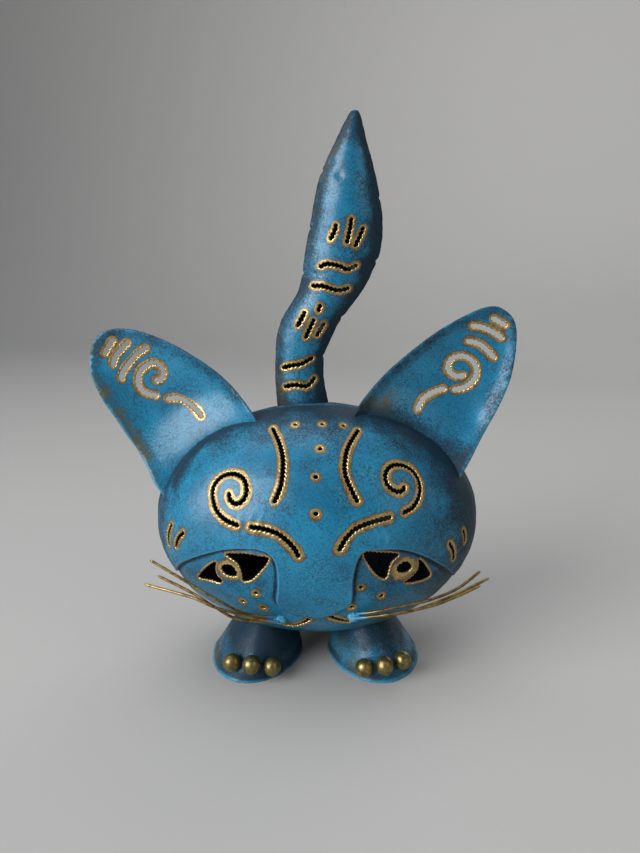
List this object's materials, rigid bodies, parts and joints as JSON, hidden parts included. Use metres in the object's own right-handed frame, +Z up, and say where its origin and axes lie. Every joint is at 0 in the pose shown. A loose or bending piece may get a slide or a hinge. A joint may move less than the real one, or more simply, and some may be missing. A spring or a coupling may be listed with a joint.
{
  "type": "pierced sheet metal cat figure",
  "caption": "Standing cat figure of pierced, painted sheet metal: hollow oval body that is also the head, cupped ears, raised tail, four domed paws with ball toes, and wire whiskers.",
  "frame": {"origin": "on the table under the middle of the figure's bounding box", "axes": "+Z up, -Y the way the face looks, +X to the right of someone facing it"},
  "size_m": [0.2077, 0.104, 0.27],
  "materials": {
    "blue_paint": "satin, sponged dark patina",
    "gold_paint": "tarnished gold paint"
  },
  "bodies": {
    "root": {"back_shell": "blue_paint", "face_shell": "blue_paint", "front_left_paw": "blue_paint", "front_left_paw_inner_toe": "gold_paint", "front_left_paw_middle_toe": "gold_paint", "front_left_paw_outer_toe": "gold_paint", "front_right_paw": "blue_paint", "front_right_paw_inner_toe": "gold_paint", "front_right_paw_middle_toe": "gold_paint", "front_right_paw_outer_toe": "gold_paint", "left_ear": "blue_paint", "left_whisker_low": "gold_paint", "left_whisker_middle": "gold_paint", "left_whisker_top": "gold_paint", "left_whisker_weld": "blue_paint", "rear_left_paw": "blue_paint", "rear_left_paw_inner_toe": "gold_paint", "rear_left_paw_middle_toe": "gold_paint", "rear_left_paw_outer_toe": "gold_paint", "rear_right_paw": "blue_paint", "rear_right_paw_inner_toe": "gold_paint", "rear_right_paw_middle_toe": "gold_paint", "rear_right_paw_outer_toe": "gold_paint", "right_ear": "blue_paint", "right_whisker_low": "gold_paint", "right_whisker_middle": "gold_paint", "right_whisker_top": "gold_paint", "right_whisker_weld": "blue_paint", "tail_back_half": "blue_paint", "tail_front_half": "blue_paint"}
  },
  "joints": []
}
